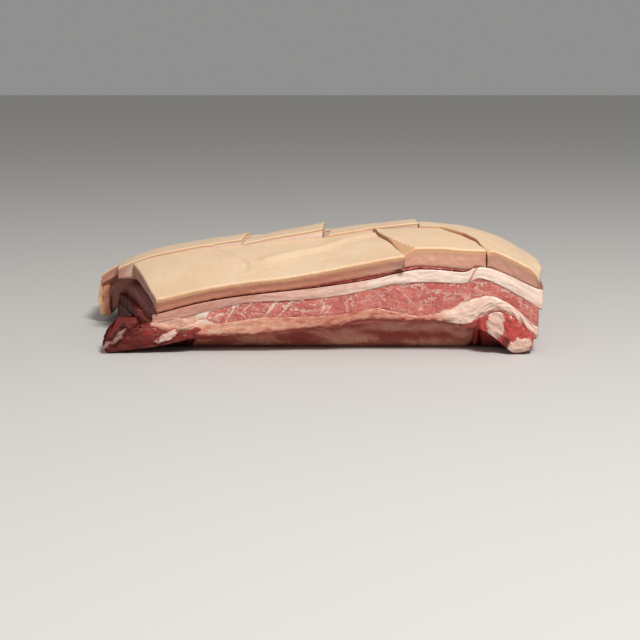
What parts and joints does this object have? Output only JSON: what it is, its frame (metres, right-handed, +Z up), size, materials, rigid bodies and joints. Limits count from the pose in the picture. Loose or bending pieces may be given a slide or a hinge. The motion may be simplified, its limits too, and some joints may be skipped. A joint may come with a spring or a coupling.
{
  "type": "pork belly slab",
  "caption": "Raw pork belly slab lying arched with its scored rind up, showing layers of back fat, streaky lean and lower fat on its cut faces",
  "frame": {"origin": "on the flat base under the middle of the slab, at the height of the surface it lies on", "axes": "+X along the length towards the end that droops, +Y from the layered front face to the back, +Z up through the rind"},
  "size_m": [0.2912, 0.1641, 0.0732],
  "materials": {
    "rind": "smooth pale raw skin with a soft sheen, translucent at its cut edges",
    "white_fat": "moist creamy white fat",
    "pink_fat": "moist pinkish fat and membrane",
    "dark_muscle": "wet dark red muscle",
    "streaky_lean": "wet marbled pinkish red lean",
    "dark_lean": "wet deep red lean with bits of fat"
  },
  "bodies": {
    "root": {"scored_rind_cap": "rind", "thin_muscle_seam": "dark_muscle", "upper_fat_band": "white_fat", "streaky_lean": "streaky_lean", "right_end_lean": "streaky_lean", "lower_fat": "pink_fat", "left_fat": "pink_fat", "tail_lean": "dark_lean", "left_end_lean": "dark_lean", "left_trim": "dark_lean"}
  },
  "joints": []
}
